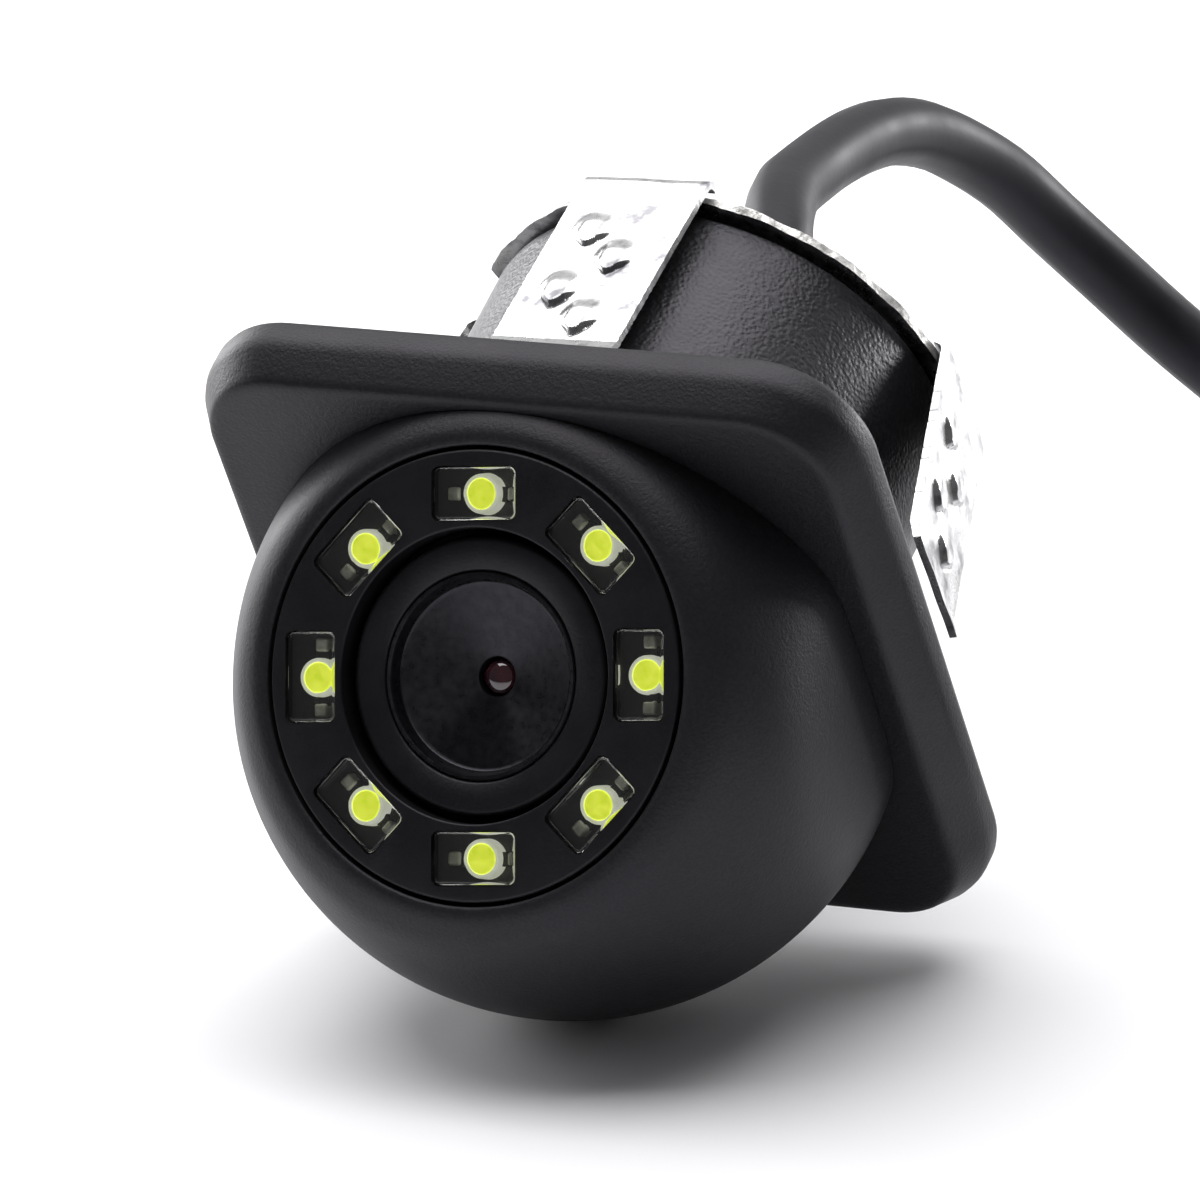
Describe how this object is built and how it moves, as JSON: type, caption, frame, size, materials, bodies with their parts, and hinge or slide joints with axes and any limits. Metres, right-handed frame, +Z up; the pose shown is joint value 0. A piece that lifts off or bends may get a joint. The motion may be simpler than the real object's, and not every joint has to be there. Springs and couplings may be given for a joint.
{
  "type": "backup camera",
  "caption": "Flush-mount vehicle backup camera with a slanted lit lens face, square flange, spring clip and coiled lead",
  "frame": {"origin": "middle of the camera's footprint on the table, at table height", "axes": "+Z up, -Y the way the camera looks, X across the camera"},
  "size_m": [0.0847, 0.0759, 0.0348],
  "materials": {
    "matte_black": "fine matte texture",
    "barrel_black": "coarse moulded grain, slightly glossy",
    "spring_steel": "bright nickel, rolled and pressed",
    "satin_black": "satin",
    "clear_plastic": "clear, polished",
    "board_black": "black solder mask",
    "board_green": "green solder mask",
    "led_yellow": "yellow-green phosphor",
    "hood_metal": "black anodised, finely turned",
    "lens_glass": "coated glass",
    "rubber": "matte",
    "chip": "moulded package",
    "white_plastic": "moulded",
    "screw_steel": "zinc plated",
    "brass": "plated contact",
    "cord_jacket": "matte black jacket"
  },
  "bodies": {
    "camera": {"barrel": "barrel_black", "board_socket": "white_plastic", "camera_board": "board_green", "clip_ring": "spring_steel", "connector_boot": "rubber", "connector_insert": "white_plastic", "connector_pin_1": "brass", "connector_pin_2": "brass", "connector_pin_3": "brass", "connector_pin_4": "brass", "connector_seal": "rubber", "connector_shell": "satin_black", "cord": "cord_jacket", "cord_coil": "cord_jacket", "cord_grommet": "rubber", "cord_tail": "cord_jacket", "cord_tie": "rubber", "face_gasket": "rubber", "flange": "matte_black", "image_sensor": "chip", "ir_filter": "lens_glass", "led_1": "led_yellow", "led_2": "led_yellow", "led_3": "led_yellow", "led_4": "led_yellow", "led_5": "led_yellow", "led_6": "led_yellow", "led_7": "led_yellow", "led_8": "led_yellow", "led_bezel": "satin_black", "led_board": "board_black", "led_window_ring": "clear_plastic", "lens_barrel": "satin_black", "lens_front_glass": "lens_glass", "lens_holder": "satin_black", "lens_hood": "hood_metal", "lens_mount": "satin_black", "lens_rear_glass": "lens_glass", "lens_seal": "rubber", "mount_screw_1": "screw_steel", "mount_screw_2": "screw_steel", "nose_housing": "matte_black", "rear_cover": "barrel_black", "rear_nut": "barrel_black", "video_chip": "chip"},
    "leg_top": {"clip_leg_top": "spring_steel"},
    "leg_right": {"clip_leg_right": "spring_steel"},
    "leg_bottom": {"clip_leg_bottom": "spring_steel"},
    "leg_left": {"clip_leg_left": "spring_steel"},
    "coupling": {"connector_collar": "satin_black"}
  },
  "joints": [
    {"name": "leg_top_flex", "type": "hinge", "parent": "camera", "child": "leg_top", "pos_m": [0, 0.00723, 0.03424], "axis": [1, 0, 0], "range_deg": [0, 5], "stiffness_Nm_per_rad": 0.3},
    {"name": "leg_right_flex", "type": "hinge", "parent": "camera", "child": "leg_right", "pos_m": [0.0119, 0.01226, 0.02346], "axis": [0, 0.4226, -0.9063], "range_deg": [0, 15], "stiffness_Nm_per_rad": 0.3},
    {"name": "leg_bottom_flex", "type": "hinge", "parent": "camera", "child": "leg_bottom", "pos_m": [0, 0.01729, 0.01267], "axis": [-1, 0, 0], "range_deg": [0, 11], "stiffness_Nm_per_rad": 0.3},
    {"name": "leg_left_flex", "type": "hinge", "parent": "camera", "child": "leg_left", "pos_m": [-0.0119, 0.01226, 0.02346], "axis": [0, -0.4226, 0.9063], "range_deg": [0, 6], "stiffness_Nm_per_rad": 0.3},
    {"name": "coupling_turn", "type": "hinge", "parent": "camera", "child": "coupling", "pos_m": [0.06315, -0.003, 0.0055], "axis": [0, -1, 0], "continuous": true}
  ]
}
